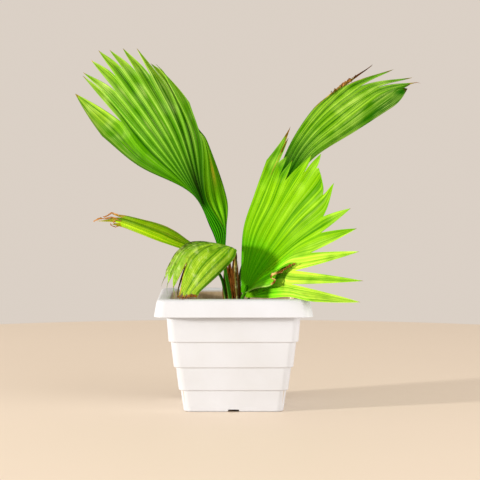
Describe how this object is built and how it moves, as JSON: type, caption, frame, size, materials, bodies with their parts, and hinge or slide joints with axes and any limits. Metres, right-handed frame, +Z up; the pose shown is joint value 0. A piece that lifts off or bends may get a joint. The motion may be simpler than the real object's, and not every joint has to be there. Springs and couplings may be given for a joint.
{
  "type": "potted fan palm",
  "caption": "Young chinese fan palm with pleated fan fronds on thin stalks, growing from soil in a square tiered white plastic pot.",
  "frame": {"origin": "the centre of the pot's foot, on the surface that it stands on", "axes": "+Z up, along the palm's height; the pot's front, with the seen sides of the fronds, faces -Y; +X is to the right as seen from the front"},
  "size_m": [0.3121, 0.1519, 0.3236],
  "materials": {
    "white_plastic": "moulded, softly glossy white plastic",
    "potting_soil": "dark crumbly potting soil, fully matt",
    "leaf_green": "waxy green leaf, softly glossy",
    "leaf_lime": "waxy lime green leaf, softly glossy",
    "leaf_pale": "pale dusty green leaf, nearly matt",
    "dry_leaf_base": "dry brown plant fibre, matt"
  },
  "bodies": {
    "root": {"pot": "white_plastic", "soil": "potting_soil", "frond_tall": "leaf_green", "frond_front": "leaf_lime", "frond_upper": "leaf_green", "frond_drooping": "leaf_pale", "frond_low": "leaf_green", "leaf_sheaths": "dry_leaf_base", "old_stalk": "dry_leaf_base"}
  },
  "joints": []
}
